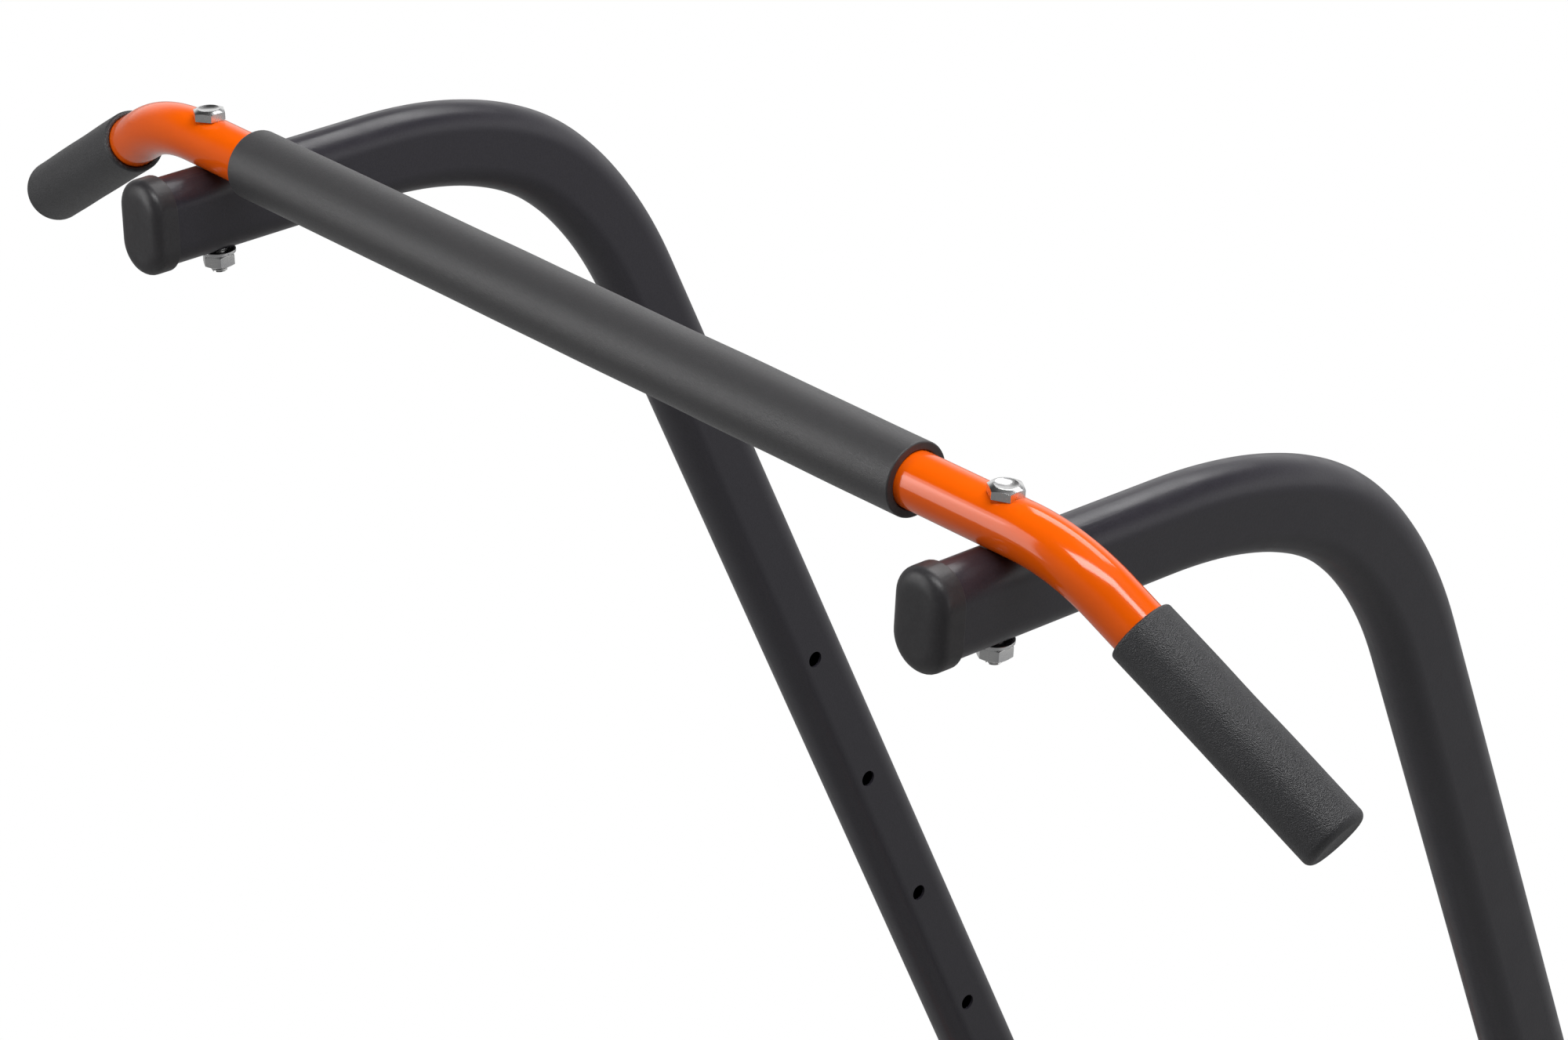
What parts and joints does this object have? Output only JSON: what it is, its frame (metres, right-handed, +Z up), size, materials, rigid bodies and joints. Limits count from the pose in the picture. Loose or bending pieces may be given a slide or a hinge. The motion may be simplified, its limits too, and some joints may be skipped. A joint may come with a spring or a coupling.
{
  "type": "pull-up and dip station",
  "caption": "Free-standing gooseneck pull-up bar with sliding, pin-locked dip arms on a braced floor frame.",
  "frame": {"origin": "on the floor, at the centre of the station's outline", "axes": "+Z up, -Y towards the user's side where the pull-up bar is, +X to the right seen from the front"},
  "size_m": [1.1212, 1.469, 2.1437],
  "materials": {
    "black_paint": "satin powder coat",
    "orange_paint": "gloss powder coat",
    "black_foam": "matte smooth foam",
    "grey_foam": "matte grainy foam",
    "black_plastic": "satin",
    "black_rubber": "matte",
    "bright_steel": "bright plated",
    "dark_steel": "black zinc"
  },
  "bodies": {
    "frame": {"upright_left": "black_paint", "upright_right": "black_paint", "upright_cap_left": "black_plastic", "upright_cap_right": "black_plastic", "pull_up_bar": "orange_paint", "centre_foam_grip": "black_foam", "end_grip_left": "grey_foam", "end_grip_right": "grey_foam", "bar_bolt_left": "bright_steel", "bar_bolt_right": "bright_steel", "bar_washer_left": "dark_steel", "bar_washer_right": "dark_steel", "bar_nut_left": "bright_steel", "bar_nut_right": "bright_steel", "side_rail_left": "black_paint", "side_rail_right": "black_paint", "front_stabiliser": "black_paint", "rear_stabiliser": "black_paint", "front_shoe_left": "black_rubber", "front_shoe_right": "black_rubber", "rear_shoe_left": "black_rubber", "rear_shoe_right": "black_rubber", "front_rail_plug_left": "black_plastic", "front_rail_plug_right": "black_plastic", "rear_rail_plug_left": "black_plastic", "rear_rail_plug_right": "black_plastic", "brace_left": "black_paint", "brace_right": "black_paint", "front_rail_bolt_left": "dark_steel", "front_rail_bolt_right": "dark_steel", "rear_rail_bolt_left": "dark_steel", "rear_rail_bolt_right": "dark_steel", "foot_bolt_left": "dark_steel", "foot_bolt_right": "dark_steel", "brace_foot_bolt_left": "dark_steel", "brace_foot_bolt_right": "dark_steel", "brace_leg_bolt_left": "dark_steel", "brace_leg_bolt_right": "dark_steel"},
    "left_dip": {"dip_sleeve_left": "black_paint", "upper_liner_left": "black_plastic", "lower_liner_left": "black_plastic", "dip_arm_left": "orange_paint", "dip_grip_left": "grey_foam", "dip_bolt_left": "bright_steel", "pin_housing_left": "bright_steel", "pin_spring_left": "bright_steel"},
    "right_dip": {"dip_sleeve_right": "black_paint", "upper_liner_right": "black_plastic", "lower_liner_right": "black_plastic", "dip_arm_right": "orange_paint", "dip_grip_right": "grey_foam", "dip_bolt_right": "bright_steel", "pin_housing_right": "bright_steel", "pin_spring_right": "bright_steel"},
    "left_pin": {"pull_pin_left": "bright_steel", "pin_knob_left": "black_plastic"},
    "right_pin": {"pull_pin_right": "bright_steel", "pin_knob_right": "black_plastic"}
  },
  "joints": [
    {"name": "left_dip_slide", "type": "slide", "parent": "frame", "child": "left_dip", "axis": [-0.0349, -0.4083, 0.9122], "range_m": [0, 0.7242]},
    {"name": "right_dip_slide", "type": "slide", "parent": "frame", "child": "right_dip", "axis": [0.0349, -0.4083, 0.9122], "range_m": [0, 0.7242]},
    {"name": "left_pin_pull", "type": "slide", "parent": "left_dip", "child": "left_pin", "axis": [0.9988, 0.0168, 0.0458], "range_m": [0, 0.012], "stiffness_N_per_m": 800, "springref_m": -0.012},
    {"name": "right_pin_pull", "type": "slide", "parent": "right_dip", "child": "right_pin", "axis": [-0.9988, 0.0168, 0.0458], "range_m": [0, 0.012], "stiffness_N_per_m": 800, "springref_m": -0.012}
  ]
}
